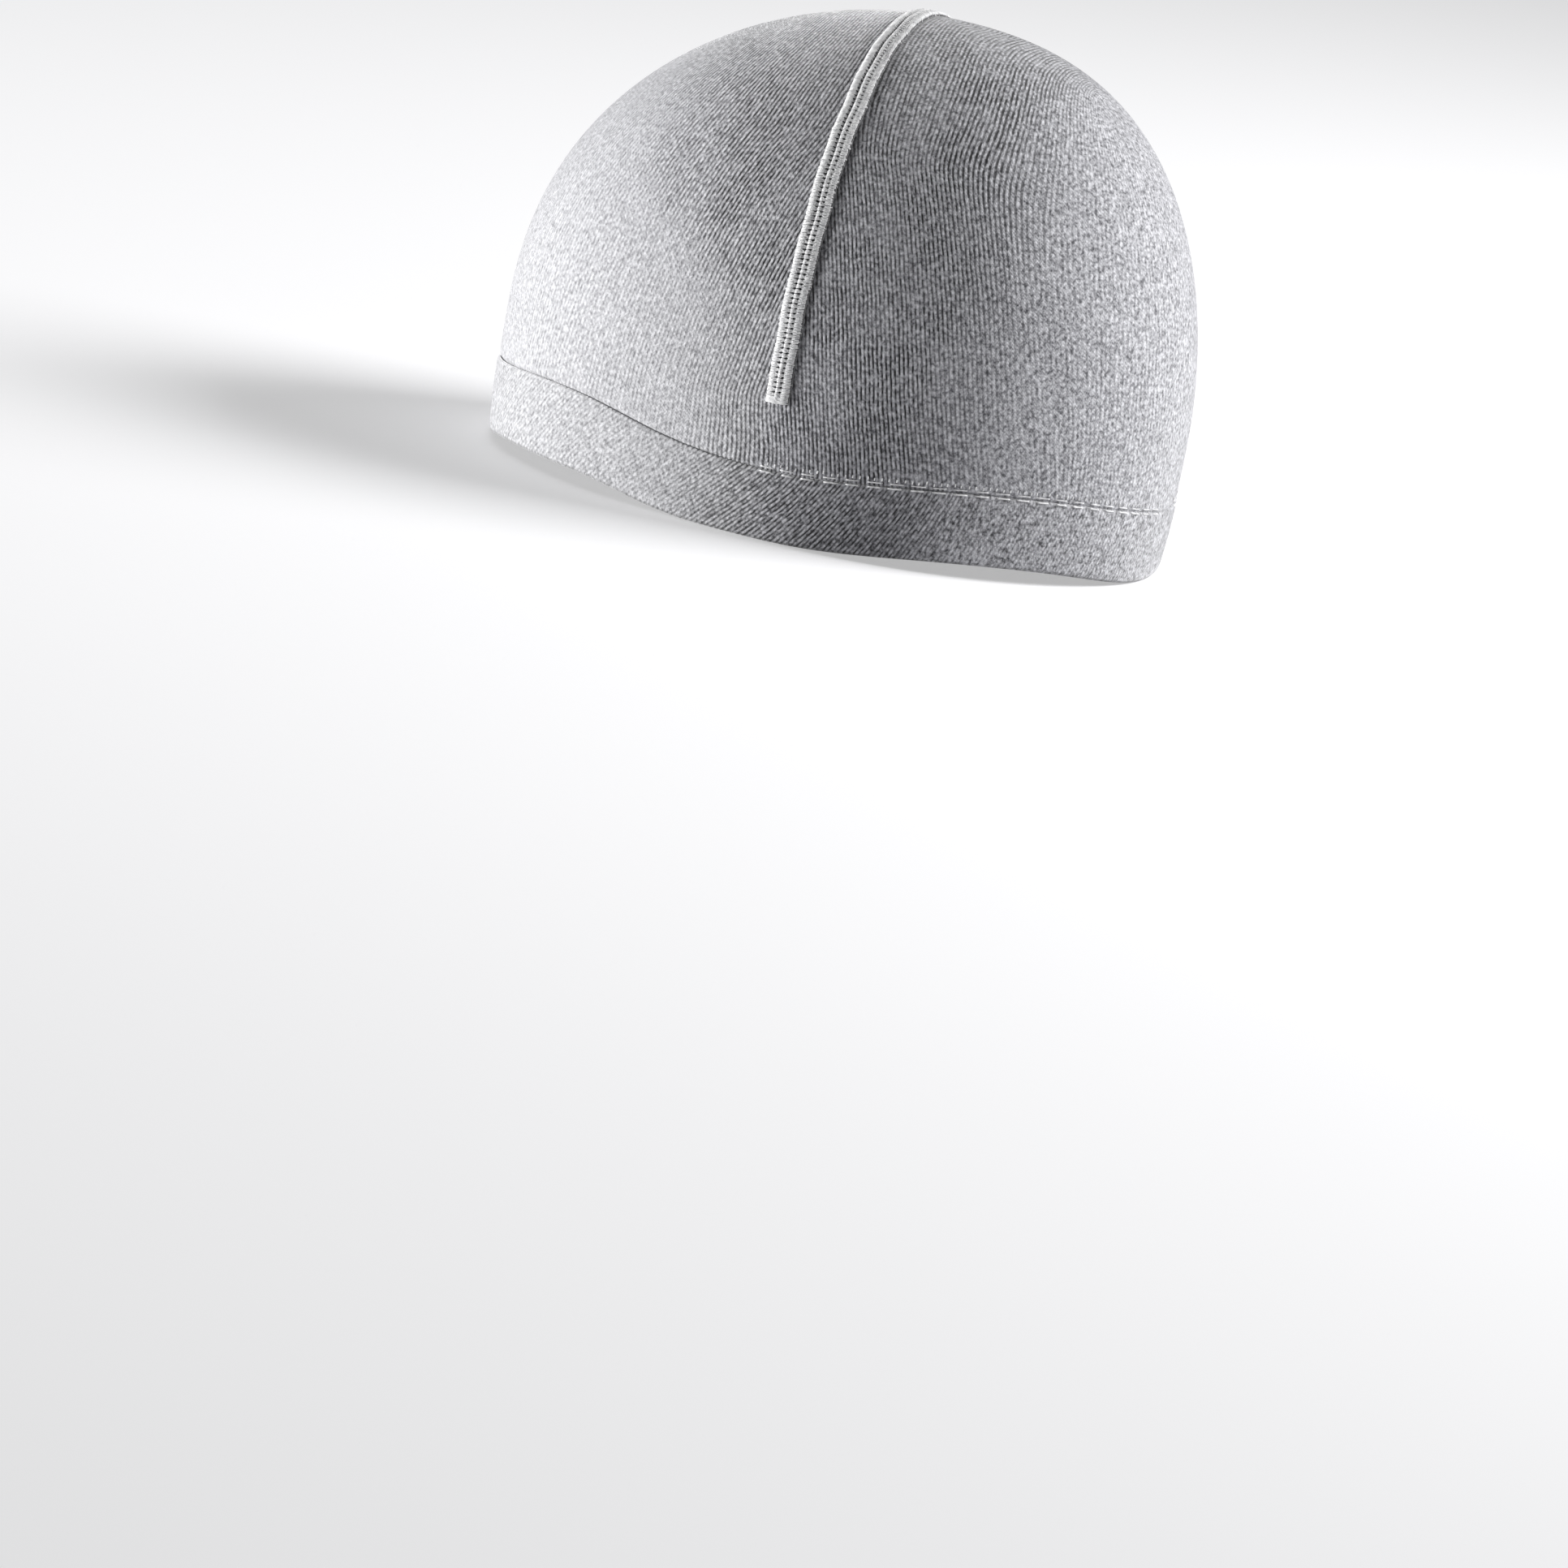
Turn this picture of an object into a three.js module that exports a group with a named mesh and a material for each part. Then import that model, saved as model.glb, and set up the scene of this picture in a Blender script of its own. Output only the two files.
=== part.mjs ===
// A wool beanie: a close-fitting knitted cap with a turned hem and one flatlock seam over the top.
// Millimetres, +Z up. The front is at -Y and the wearer's left at +X. The hem rests on z = 0.
import * as THREE from 'three';
import { mergeVertices } from 'three/addons/utils/BufferGeometryUtils.js';

// Driving dimensions of the outer skin
const HALF_WIDTH = 79;
const HALF_LENGTH = 98.4;
const HEIGHT = 139.7;
const WIDEST_LEVEL = 36;
const EGG_SHAPE = 0.05;        // how much narrower the plan is in front, and wider behind
const LEAN_BACK = 9;           // how far the top lies behind the middle

// The profile seen along each direction, from the widest level up to the top and down to the rim
const PROFILES = {
  front: { shoulder: 2.0, top: 2.3, drawIn: 0.015 },
  side: { shoulder: 2.1, top: 2.25, drawIn: 0.008 },
  back: { shoulder: 2.4, top: 1.96, drawIn: 0.015 },
};

// The rim lifts a little between forehead, sides and nape, and lies flat where it touches
const RIM_ARCH = 3.5;
const RIM_FLATTENED = 0.3;

// Knitted walls and the gaps that keep the pieces apart
const CROWN_WALL = 1.5;
const PIECE_GAP = 0.3;

// The hem is a doubled band, and the lower edge of the crown is held between its two layers
const HEM_HEIGHT = 20;
const HEM_LAYER = 1.2;
const HEM_PROUD = 0.4;         // how far the outer layer stands out from the crown
const TONGUE_WALL = 1.1;
const TONGUE_DEPTH = 5;        // how far the crown reaches down into the hem
const RIM_WALL = 2.8;          // both layers pressed together at the fold
const RIM_ROUND = 0.9;
const MID_ROUND = RIM_ROUND * (1 - Math.SQRT1_2); // how far the middle of the rounded edge is from its corner

// The flatlock seam runs from side to side in a plane that leans back as it comes down
const SEAM_WIDTH = 6.8;
const SEAM_THICKNESS = 1.0;
const SEAM_ROUND = 0.4;
const SEAM_END_LEVEL = 38.5;
const SEAM_PLANE = { y: 3.9, atLevel: 65, lean: -0.023 };

// Facets
const STEPS_AROUND = 72;
const ROWS_BELOW_WIDEST = 2;
const ROWS_ABOVE_WIDEST = 13;
const SEAM_STEPS = 84;
const SEAM_SAMPLES = 600;      // points that measure the seam's length
const HALVINGS = 40;

const melange = new THREE.MeshStandardMaterial({ color: 0x9b9b9d, roughness: 0.95, metalness: 0 });
const hemKnit = new THREE.MeshStandardMaterial({ color: 0x8f8f92, roughness: 0.95, metalness: 0 });
const seamThread = new THREE.MeshStandardMaterial({ color: 0xcfcfd1, roughness: 0.9, metalness: 0 });

// Blends a profile value between front or back and side, at an angle from the front
function profile(angle, column) {
  const end = Math.cos(angle) > 0 ? PROFILES.front : PROFILES.back;
  const along = Math.cos(angle) ** 2;
  return end[column] * along + PROFILES.side[column] * (1 - along);
}

function rimLevel(angle) {
  return Math.max(0, RIM_ARCH * Math.sin(2 * angle) ** 2 - RIM_FLATTENED);
}

// 0 at the widest level and below it, 1 at the top
function rise(level) {
  return Math.min(1, Math.max(0, (level - WIDEST_LEVEL) / (HEIGHT - WIDEST_LEVEL)));
}

// How much of the widest plan is left at a level: 1 at the widest level, 0 at the top
function reach(angle, level) {
  if (level < WIDEST_LEVEL) {
    const below = (WIDEST_LEVEL - level) / WIDEST_LEVEL;
    return 1 - profile(angle, 'drawIn') * below ** 2;
  }
  return (1 - rise(level) ** profile(angle, 'top')) ** (1 / profile(angle, 'shoulder'));
}

function skinPoint(angle, level) {
  const plan = reach(angle, level);
  const x = HALF_WIDTH * Math.sin(angle) * (1 - EGG_SHAPE * Math.cos(angle)) * plan;
  const y = LEAN_BACK * rise(level) ** 2 - HALF_LENGTH * Math.cos(angle) * plan;
  return new THREE.Vector3(x, y, level);
}

// The outward normal of the outer skin, from two short steps on it
function skinNormal(angle, level) {
  const step = 0.01;
  const low = Math.min(level, HEIGHT - 2 * step);
  const around = skinPoint(angle + step, low).sub(skinPoint(angle - step, low));
  const up = skinPoint(angle, low + step).sub(skinPoint(angle, low - step));
  return around.cross(up).normalize();
}

function offsetPoint(angle, level, offset) {
  return skinPoint(angle, level).addScaledVector(skinNormal(angle, level), offset);
}

const angles = Array.from({ length: STEPS_AROUND }, (_, i) => (2 * Math.PI * i) / STEPS_AROUND);

// One ring of the crown or the hem, at a height above the rim, offset from the outer skin
function ringAboveRim(height, offset) {
  return angles.map((angle) => offsetPoint(angle, rimLevel(angle) + height, offset));
}

function ringAtLevel(level, offset) {
  return angles.map((angle) => offsetPoint(angle, level, offset));
}

// Joins rings of points into one closed skin. A ring of one point closes an end, and wrap joins the last
// ring to the first.
function closedSkin(rings, wrap) {
  const positions = rings.flat().flatMap((p) => [p.x, p.y, p.z]);
  const starts = rings.map((_, i) => rings.slice(0, i).reduce((sum, ring) => sum + ring.length, 0));
  const triangles = [];
  const joins = wrap ? rings.length : rings.length - 1;
  for (let i = 0; i < joins; i++) {
    const j = (i + 1) % rings.length;
    const count = Math.max(rings[i].length, rings[j].length);
    for (let k = 0; k < count; k++) {
      const a = starts[i] + (k % rings[i].length);
      const b = starts[i] + ((k + 1) % rings[i].length);
      const c = starts[j] + (k % rings[j].length);
      const d = starts[j] + ((k + 1) % rings[j].length);
      if (a !== b) triangles.push([a, b, d]);
      if (c !== d) triangles.push([a, d, c]);
    }
  }
  const corner = (i) => new THREE.Vector3().fromArray(positions, 3 * i);
  const volume = triangles.reduce((sum, [a, b, c]) => sum + corner(a).dot(corner(b).cross(corner(c))), 0);
  const outward = volume > 0 ? triangles : triangles.map(([a, b, c]) => [a, c, b]);
  const geometry = new THREE.BufferGeometry();
  geometry.setAttribute('position', new THREE.Float32BufferAttribute(positions, 3));
  geometry.setIndex(outward.flat());
  return mergeVertices(geometry);
}

function piece(name, geometry, material) {
  const mesh = new THREE.Mesh(geometry, material);
  mesh.name = name;
  return mesh;
}

// The crown: a hollow dome of one knitted layer, whose lower edge steps inwards to sit inside the hem
function crown() {
  const tongueOuter = -(HEM_LAYER - HEM_PROUD + PIECE_GAP);
  const tongueInner = tongueOuter - TONGUE_WALL;
  const tongueFoot = HEM_HEIGHT - TONGUE_DEPTH;
  const aboveHem = HEM_HEIGHT + 2 * PIECE_GAP;
  const firstLevel = aboveHem + RIM_ARCH;
  const levels = [];
  for (let i = 1; i <= ROWS_BELOW_WIDEST; i++) {
    levels.push(firstLevel + ((WIDEST_LEVEL - firstLevel) * i) / ROWS_BELOW_WIDEST);
  }
  for (let i = 1; i < ROWS_ABOVE_WIDEST; i++) {
    levels.push(WIDEST_LEVEL + (HEIGHT - WIDEST_LEVEL) * Math.sin((Math.PI / 2) * (i / ROWS_ABOVE_WIDEST)));
  }
  const top = (offset) => [new THREE.Vector3(0, LEAN_BACK, HEIGHT + offset)];
  const outside = levels.map((level) => ringAtLevel(level, 0)).reverse();
  const inside = levels.map((level) => ringAtLevel(level, -CROWN_WALL));
  const lowerEdge = [
    ringAboveRim(aboveHem, 0),
    ringAboveRim(aboveHem - PIECE_GAP, tongueOuter),
    ringAboveRim(tongueFoot, tongueOuter),
    ringAboveRim(tongueFoot, tongueInner),
    ringAboveRim(aboveHem, tongueInner),
    ringAboveRim(aboveHem + 2 * PIECE_GAP, -CROWN_WALL),
  ];
  const rings = [top(0), ...outside, ...lowerEdge, ...inside, top(-CROWN_WALL)];
  return piece('crown', closedSkin(rings, false), melange);
}

// The hem band: two layers around the lower edge of the crown, folded at the rim
function hemBand() {
  const slotOuter = HEM_PROUD - HEM_LAYER;
  const slotInner = slotOuter - TONGUE_WALL - 2 * PIECE_GAP;
  const innerFace = slotInner - HEM_LAYER;
  const rimInner = HEM_PROUD - RIM_WALL;
  const slotFoot = HEM_HEIGHT - TONGUE_DEPTH - PIECE_GAP;
  const section = [
    { height: 0, offset: HEM_PROUD - RIM_ROUND },
    { height: MID_ROUND, offset: HEM_PROUD - MID_ROUND },
    { height: RIM_ROUND, offset: HEM_PROUD },
    { height: HEM_HEIGHT / 2, offset: HEM_PROUD },
    { height: HEM_HEIGHT - HEM_LAYER / 2, offset: HEM_PROUD },
    { height: HEM_HEIGHT, offset: HEM_PROUD - HEM_LAYER / 2 },
    { height: HEM_HEIGHT - HEM_LAYER / 2, offset: slotOuter },
    { height: slotFoot, offset: slotOuter },
    { height: slotFoot, offset: slotInner },
    { height: HEM_HEIGHT - HEM_LAYER / 2, offset: slotInner },
    { height: HEM_HEIGHT, offset: slotInner - HEM_LAYER / 2 },
    { height: HEM_HEIGHT - HEM_LAYER / 2, offset: innerFace },
    { height: RIM_ROUND, offset: rimInner },
    { height: MID_ROUND, offset: rimInner + MID_ROUND },
    { height: 0, offset: rimInner + RIM_ROUND },
  ];
  const rings = section.map(({ height, offset }) => ringAboveRim(height, offset));
  // a foot that rests is flat, whatever the skin's slope is there
  for (const ring of [rings[0], rings[rings.length - 1]]) {
    ring.forEach((point, i) => { point.z = rimLevel(angles[i]); });
  }
  return piece('hem_band', closedSkin(rings, true), hemKnit);
}

// Halves an interval until it closes on the value where isBelow changes from true to false
function closeIn(low, high, isBelow) {
  for (let i = 0; i < HALVINGS; i++) {
    const middle = (low + high) / 2;
    if (isBelow(middle)) low = middle;
    else high = middle;
  }
  return low;
}

// True where a point of the skin lies in front of the seam's plane
function beforeSeam(angle, level) {
  return skinPoint(angle, level).y < SEAM_PLANE.y + SEAM_PLANE.lean * (level - SEAM_PLANE.atLevel);
}

// Places on the skin along the seam's middle, evenly spaced from its right end over the top to its left end
function seamPlaces() {
  const endAngle = closeIn(0, Math.PI, (angle) => beforeSeam(angle, SEAM_END_LEVEL));
  const cut = (angle) => closeIn(SEAM_END_LEVEL, HEIGHT, (level) => beforeSeam(angle, level));
  const travelled = [0];
  const sampleAngle = (i) => endAngle * ((2 * i) / SEAM_SAMPLES - 1);
  let last = skinPoint(sampleAngle(0), cut(sampleAngle(0)));
  for (let i = 1; i <= SEAM_SAMPLES; i++) {
    const next = skinPoint(sampleAngle(i), cut(sampleAngle(i)));
    travelled.push(travelled[i - 1] + next.distanceTo(last));
    last = next;
  }
  return Array.from({ length: SEAM_STEPS + 1 }, (_, step) => {
    const distance = (travelled[SEAM_SAMPLES] * step) / SEAM_STEPS;
    const i = Math.max(1, travelled.findIndex((length) => length >= distance - 1e-6));
    const share = (distance - travelled[i - 1]) / (travelled[i] - travelled[i - 1]);
    const angle = sampleAngle(i - 1 + share);
    return { angle, level: cut(angle) };
  });
}

// The crown seam: a low flat ridge of covering thread that follows the crown
function crownSeam() {
  const places = seamPlaces();
  const line = places.map(({ angle, level }) => skinPoint(angle, level));
  const half = SEAM_WIDTH / 2;
  const section = [
    { across: -half, lift: 0 },
    { across: -half, lift: SEAM_THICKNESS - SEAM_ROUND },
    { across: -half + SEAM_ROUND, lift: SEAM_THICKNESS },
    { across: 0, lift: SEAM_THICKNESS },
    { across: half - SEAM_ROUND, lift: SEAM_THICKNESS },
    { across: half, lift: SEAM_THICKNESS - SEAM_ROUND },
    { across: half, lift: 0 },
    { across: 0, lift: 0 },
  ];
  const rings = places.map(({ angle, level }, i) => {
    const along = line[Math.min(i + 1, SEAM_STEPS)].clone().sub(line[Math.max(i - 1, 0)]);
    const normal = skinNormal(angle, level);
    const across = normal.clone().cross(along).normalize();
    return section.map((corner) => line[i].clone()
      .addScaledVector(normal, PIECE_GAP + corner.lift)
      .addScaledVector(across, corner.across));
  });
  const total = (ring) => ring.reduce((sum, p) => sum.add(p), new THREE.Vector3());
  const middle = (ring) => [total(ring).divideScalar(ring.length)];
  const closed = [middle(rings[0]), ...rings, middle(rings[SEAM_STEPS])];
  return piece('crown_seam', closedSkin(closed, false), seamThread);
}

const beanie = new THREE.Group();
beanie.add(crown(), hemBand(), crownSeam());

export default beanie;
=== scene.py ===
import math

import bmesh
import bpy
import numpy as np
from mathutils import Matrix, Vector


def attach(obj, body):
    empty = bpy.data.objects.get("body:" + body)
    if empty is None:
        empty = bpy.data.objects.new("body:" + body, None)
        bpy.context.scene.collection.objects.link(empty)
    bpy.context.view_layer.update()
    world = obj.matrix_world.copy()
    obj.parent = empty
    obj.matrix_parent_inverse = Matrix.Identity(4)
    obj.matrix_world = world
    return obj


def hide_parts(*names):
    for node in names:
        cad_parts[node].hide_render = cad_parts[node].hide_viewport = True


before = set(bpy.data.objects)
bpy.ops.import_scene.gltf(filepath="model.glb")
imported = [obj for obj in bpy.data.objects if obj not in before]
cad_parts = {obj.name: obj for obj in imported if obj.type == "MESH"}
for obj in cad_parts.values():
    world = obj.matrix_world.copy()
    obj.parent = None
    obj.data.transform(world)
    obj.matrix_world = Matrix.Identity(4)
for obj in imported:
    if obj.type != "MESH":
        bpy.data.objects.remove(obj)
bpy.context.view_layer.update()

# Camera: behind the left side of the cap, with a long lens from 2.4 m away. It is rolled by 11
# degrees, so that the standing cap leans in the picture, and it aims below the cap and a little
# to the left of it, because the picture keeps room there.
AZIMUTH, ELEVATION, ROLL, DISTANCE = 105.58, 9.1, math.radians(10.856), 2.4
AIM_LEFT, AIM_BELOW = 0.0226, 0.1426


def direction(azimuth, elevation):
    """The way out from the cap: azimuth 0 is straight in front and 90 degrees at its left side."""
    a, e = math.radians(azimuth), math.radians(elevation)
    return Vector((math.sin(a) * math.cos(e), -math.cos(a) * math.cos(e), math.sin(e)))


back = direction(AZIMUTH, ELEVATION)
right = Vector((math.cos(math.radians(AZIMUTH)), math.sin(math.radians(AZIMUTH)), 0))
up = back.cross(right)
cam_right = math.cos(ROLL) * right + math.sin(ROLL) * up
cam_up = math.cos(ROLL) * up - math.sin(ROLL) * right
middle = Vector((0, 0, 0.065))
eye = middle + DISTANCE * back
aim = middle - AIM_LEFT * cam_right - AIM_BELOW * cam_up
cam_z = (eye - aim).normalized()
cam_y = cam_z.cross(cam_right).normalized()
cam_x = cam_y.cross(cam_z)
lens = bpy.data.cameras.new("camera")
lens.lens, lens.clip_end = 197.0, 60
camera = bpy.data.objects.new("camera", lens)
camera.matrix_world = Matrix.Translation(eye) @ Matrix((cam_x, cam_y, cam_z)).transposed().to_4x4()
bpy.context.scene.collection.objects.link(camera)
bpy.context.scene.camera = camera

# Studio: a plain pale floor and two soft boxes. A low narrow one stands in front of the cap, and
# a larger and higher one behind it, with none beside the camera, so the cap's edges are bright
# in the picture and its middle is dark.


def linear(hex_colour):
    """An sRGB hex colour as linear RGBA."""
    parts = [int(hex_colour[i:i + 2], 16) / 255 for i in (1, 3, 5)]
    return (*[c / 12.92 if c <= 0.04045 else ((c + 0.055) / 1.055) ** 2.4 for c in parts], 1)


def node(tree, kind, links=None, **settings):
    """Adds a node. Settings name its properties, or its inputs where a name starts with in_, and
    links give the source of an input: a socket, or a node whose first output is meant."""
    made = tree.nodes.new("ShaderNode" + kind)
    for key, value in settings.items():
        if key.startswith("in_"):
            socket = int(key[3:]) if key[3:].isdigit() else key[3:].replace("_", " ")
            made.inputs[socket].default_value = value
        else:
            setattr(made, key, value)
    for socket, source in (links or {}).items():
        output = source.outputs[0] if isinstance(source, bpy.types.Node) else source
        tree.links.new(output, made.inputs[socket])
    return made


def soft_box(name, azimuth, elevation, distance, width, height, watts):
    light = bpy.data.lights.new(name, "AREA")
    light.shape, light.size, light.size_y, light.energy = "RECTANGLE", width, height, watts
    away = direction(azimuth, elevation)
    lamp = bpy.data.objects.new(name, light)
    lamp.location = middle + away * distance
    lamp.rotation_mode = "QUATERNION"
    lamp.rotation_quaternion = away.to_track_quat("Z", "Y")
    bpy.context.scene.collection.objects.link(lamp)


soft_box("soft_box_left", azimuth=AZIMUTH - 91, elevation=0.5, distance=1.7, width=1.0, height=0.16,
         watts=60)
soft_box("soft_box_right", azimuth=AZIMUTH + 100, elevation=36, distance=1.7, width=1.0, height=0.8,
         watts=52.5)
world = bpy.data.worlds.new("studio")
world.use_nodes = True
world.node_tree.nodes["Background"].inputs["Color"].default_value = linear("#f4f5f7")
world.node_tree.nodes["Background"].inputs["Strength"].default_value = 0.02
bpy.context.scene.world = world
bpy.context.scene.view_settings.view_transform = "Standard"

floor_paint = bpy.data.materials.new("white_backlit_acrylic_floor")
floor_paint.use_nodes = True
acrylic = floor_paint.node_tree.nodes["Principled BSDF"]
acrylic.inputs["Base Color"].default_value = linear("#c8c8ca")
acrylic.inputs["Roughness"].default_value = 0.9
acrylic.inputs["Emission Color"].default_value = linear("#ffffff")
acrylic.inputs["Emission Strength"].default_value = 0.42
sheet = bmesh.new()
bmesh.ops.create_grid(sheet, x_segments=1, y_segments=1, size=15)
floor_mesh = bpy.data.meshes.new("floor")
sheet.to_mesh(floor_mesh)
sheet.free()
floor_mesh.materials.append(floor_paint)
floor = bpy.data.objects.new("floor", floor_mesh)
bpy.context.scene.collection.objects.link(floor)

# Crown: one layer of fine melange wool jersey, knitted as a tube and closed over the top. It is
# spun as a plain dome and then laid onto the cap's form. Its lower edge steps inwards and goes
# down between the two layers of the hem. Front and back panel meet under the top seam.
HALF_WIDTH, HALF_LENGTH, HEIGHT, WIDEST = 0.079, 0.0984, 0.1397, 0.036
FRONT_TAPER, SUMMIT_BACK = 0.05, 0.009
# how round the shoulder and the top are, and how far the wall draws in below its widest level
PROFILES = {"front": (2.0, 2.3, 0.015), "side": (2.1, 2.25, 0.008), "back": (2.4, 1.96, 0.015)}
# the folded rim and the hem's top line: (degrees round from the front, mm up)
RIM = ((0, 0), (15, 0.3), (30, 2.5), (40, 3.1), (52, 3.3), (60, 3.4), (65, 2.7), (70, 1.3), (75, 0.2),
       (82, 0), (100, 0), (108, 1.1), (116, 2.4), (123, 3.4), (134, 4.0), (143, 3.8), (150, 3.1),
       (160, 1.5), (168, 0.3), (174, 0), (180, 0))
HEM_TOP = ((0, 20.4), (22, 22.3), (35, 23.8), (43, 24.9), (52, 25.3), (59, 25.0), (64, 23.9), (70, 22.3),
           (75, 21.1), (80, 20.2), (88, 19.5), (97, 19.4), (101, 20.0), (107, 21.2), (114, 22.2),
           (120, 23.0), (127, 23.9), (135, 24.2), (143, 24.1), (152, 23.3), (165, 21.6), (180, 19.8))


def form(angle, level, offset=0.0):
    """Points of the cap's form: angle 0 is at the front and 90 degrees at its left side."""

    def skin(a, z):
        z = np.clip(z, 0, HEIGHT)
        c, s = np.cos(a), np.sin(a)
        along = (c * c)[..., None]
        ends = np.where((c > 0)[..., None], PROFILES["front"], PROFILES["back"])
        shoulder, top, draw = np.moveaxis(ends * along + np.array(PROFILES["side"]) * (1 - along), -1, 0)
        rise = np.clip((z - WIDEST) / (HEIGHT - WIDEST), 0, 1)
        reach = np.where(z < WIDEST, 1 - draw * (1 - z / WIDEST) ** 2,
                         np.clip(1 - rise ** top, 0, None) ** (1 / shoulder))
        return np.stack([HALF_WIDTH * s * (1 - FRONT_TAPER * c) * reach,
                         SUMMIT_BACK * rise ** 2 - HALF_LENGTH * c * reach, z], -1)

    angle, level = np.asarray(angle, float), np.asarray(level, float)
    tiny = 1e-4
    z = np.clip(level, tiny / 20, HEIGHT - tiny / 5)
    around = skin(angle + tiny, z) - skin(angle - tiny, z)
    upward = skin(angle, z + tiny / 20) - skin(angle, z - tiny / 20)
    normal = np.cross(around, upward)
    normal /= np.maximum(np.linalg.norm(normal, axis=-1, keepdims=True), 1e-12)
    pole = (level > HEIGHT - 2e-5)[..., None]
    normal = np.where(pole, (0.0, 0.0, 1.0), normal)
    below = np.minimum(level, 0)[..., None] * np.array((0, 0, 1.0))
    return skin(angle, level) + below + normal * np.asarray(offset, float)[..., None]


def line_round(angle, knots):
    """The level of a line round the cap, from (degrees, mm) knots, the same left and right."""
    spots = np.degrees(np.asarray(angle, float))[..., None] + np.linspace(-6, 6, 7)
    degrees, heights = np.array(knots, float).T
    return np.interp(np.abs((spots + 180) % 360 - 180), degrees, heights).mean(-1) / 1000


def spun_ring(section, steps, closed):
    """Spins a section of (distance from the axis, height) points round and returns its bmesh."""
    ring = bmesh.new()
    points = [ring.verts.new((r, 0, z)) for r, z in section]
    edges = [ring.edges.new(pair) for pair in zip(points, points[1:])]
    if closed:
        edges.append(ring.edges.new((points[-1], points[0])))
    bmesh.ops.spin(ring, geom=points + edges, cent=(0, 0, 0), axis=(0, 0, 1), angle=2 * math.pi,
                   steps=steps, use_merge=True, use_duplicate=False)
    bmesh.ops.remove_doubles(ring, verts=ring.verts, dist=1e-6)
    return ring


def settled(mesh_data, places):
    """Moves each vertex of a bmesh to its place, and turns the faces outwards."""
    for vert, spot in zip(mesh_data.verts, places):
        vert.co = spot
    bmesh.ops.recalc_face_normals(mesh_data, faces=mesh_data.faces)


def finished(name, mesh_data, materials, body="root"):
    """Makes the object of a bmesh, with its materials and the body that it rides on."""
    mesh = bpy.data.meshes.new(name)
    mesh_data.to_mesh(mesh)
    mesh_data.free()
    mesh.shade_smooth()
    for material in materials:
        mesh.materials.append(material)
    piece = bpy.data.objects.new(name, mesh)
    bpy.context.scene.collection.objects.link(piece)
    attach(piece, body)
    return piece


levels = np.linspace(0, HEIGHT, 1400)
side_line = form(np.full_like(levels, math.pi / 2), levels)
side_run = np.concatenate([[0], np.cumsum(np.linalg.norm(np.diff(side_line, axis=0), axis=1))])

# rows of the dome: close together in the crease over the hem, then every 1.4 mm up to the top
JOIN, FIRST_ROW, ROW_STEP, UPPER_ROWS, ROUND_STEPS = 0.022, 0.0252, 0.0014, 108, 240
STEP_IN = (  # (mm above the join, mm out from the form)
    (-5.0, -0.95), (-3.0, -0.95), (-1.2, -0.95), (-0.4, -0.95), (0.0, -0.85), (0.35, -0.55), (0.65, -0.28),
    (1.0, -0.12), (1.6, -0.03), (3.2, 0.0))
upper_runs = np.linspace(np.interp(FIRST_ROW, levels, side_run) + ROW_STEP, side_run[-1], UPPER_ROWS)
row_levels = np.concatenate([[JOIN + h / 1000 for h, _ in STEP_IN], np.interp(upper_runs, side_run, levels)])
row_levels[-1] = HEIGHT
row_offsets = np.concatenate([[out / 1000 for _, out in STEP_IN], np.zeros(UPPER_ROWS)])
last_row = len(row_levels) - 1
dome = spun_ring([(1 - k / last_row, k / last_row) for k in range(last_row + 1)], ROUND_STEPS, False)
spun = np.array([vert.co for vert in dome.verts])
angle_of = np.where(np.hypot(spun[:, 0], spun[:, 1]) > 1e-5, np.arctan2(spun[:, 1], spun[:, 0]), 0)
row_of = np.round(spun[:, 2] * last_row).astype(int)
nominal = row_levels[row_of]
# the waves of the hem's top line die out over the next 30 mm
near_hem = 1 - np.clip((nominal - 0.026) / 0.03, 0, 1)
near_hem = near_hem ** 2 * (3 - 2 * near_hem)
# behind the sides, where the hem is stitched on, the crease is half as deep
stitched = np.interp(np.abs(np.degrees(angle_of)), [86, 100], [1, 0.5])
inset = row_offsets[row_of] * np.where(nominal > JOIN - 0.0001, stitched, 1)
settled(dome, form(angle_of, nominal + (line_round(angle_of, HEM_TOP) - JOIN) * near_hem, inset))

# the plane of the top seam, which leans slightly to the front and cuts the dome in two panels
SEAM_Y, SEAM_Z, SEAM_LEAN = 0.0039, 0.065, 0.023
SEAM_POINT, SEAM_NORMAL = Vector((0, SEAM_Y, SEAM_Z)), Vector((0, 1, SEAM_LEAN)).normalized()
bmesh.ops.bisect_plane(dome, geom=dome.verts[:] + dome.edges[:] + dome.faces[:], dist=1e-5,
                       plane_co=SEAM_POINT, plane_no=SEAM_NORMAL)


def seam_y(height):
    """Where the plane of the seam stands at a height."""
    return SEAM_Y - SEAM_LEAN * (height - SEAM_Z)


def behind_plane(points):
    """How far points lie behind the plane of the seam, in metres."""
    return (points - np.array(SEAM_POINT)) @ np.array(SEAM_NORMAL)


# The wales, in mm from the seam. They stand evenly behind each other and end one after the other at
# the seam, where the panels are cut to a curve, so they all lean towards it: by 11 to 13 degrees low
# down, by up to 24 further up and hardly at all on the top. Where front and back turn away from the
# side the knit is stretched wider, and there and over the top it relaxes between its edges.
WALE, COURSE = 1.17, 1.05
SEAM_START, MIDDLE = 0.0385, 103 * WALE
# the front panel's wales lie 1 / 0.85 as far apart, and their lean dies out over 45 mm
FRONT_STRETCH, FADE = 0.85, 45
LEAN_LEVELS = [0.020, 0.026, 0.036, 0.05, 0.065, 0.08, 0.095, 0.107, 0.118, 0.122, 0.128]
LEAN = np.radians([0, 13, 13, 11, 13.5, 16.5, 19.5, 24, 9, 4, 0])
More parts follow.
